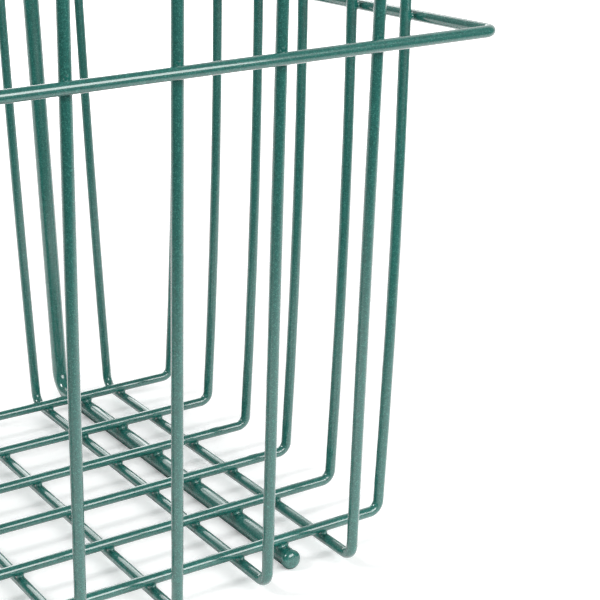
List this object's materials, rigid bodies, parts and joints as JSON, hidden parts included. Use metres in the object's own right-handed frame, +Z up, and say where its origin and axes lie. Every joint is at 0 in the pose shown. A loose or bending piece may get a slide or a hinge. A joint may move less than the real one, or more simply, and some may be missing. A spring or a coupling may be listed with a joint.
{
  "type": "hanging wire storage basket",
  "caption": "Deep rectangular basket of welded steel wire under a green epoxy coat, with flared walls, a ring, a heavier rim and rear rods that hook over a rail.",
  "frame": {"origin": "on the surface that the basket stands on, under the middle of its outer box, from the rim's front to the back of the hooks", "axes": "+X along the length, to the right for someone facing the front; +Y to the back, where the hooks are; +Z up"},
  "size_m": [0.4476, 0.2246, 0.2727],
  "materials": {
    "green_epoxy": "glossy hunter-green epoxy powder coat with a fine metallic fleck, on steel wire"
  },
  "bodies": {
    "root": {"cross_wire_01": "green_epoxy", "cross_wire_02": "green_epoxy", "cross_wire_03": "green_epoxy", "cross_wire_04": "green_epoxy", "cross_wire_05": "green_epoxy", "cross_wire_06": "green_epoxy", "cross_wire_07": "green_epoxy", "cross_wire_08": "green_epoxy", "cross_wire_09": "green_epoxy", "cross_wire_10": "green_epoxy", "cross_wire_11": "green_epoxy", "cross_wire_12": "green_epoxy", "cross_wire_13": "green_epoxy", "cross_wire_14": "green_epoxy", "long_wire_1": "green_epoxy", "long_wire_2": "green_epoxy", "long_wire_3": "green_epoxy", "long_wire_4": "green_epoxy", "long_wire_5": "green_epoxy", "long_wire_6": "green_epoxy", "middle_ring": "green_epoxy", "top_rim": "green_epoxy", "hook_rod_left": "green_epoxy", "hook_rod_right": "green_epoxy"}
  },
  "joints": []
}
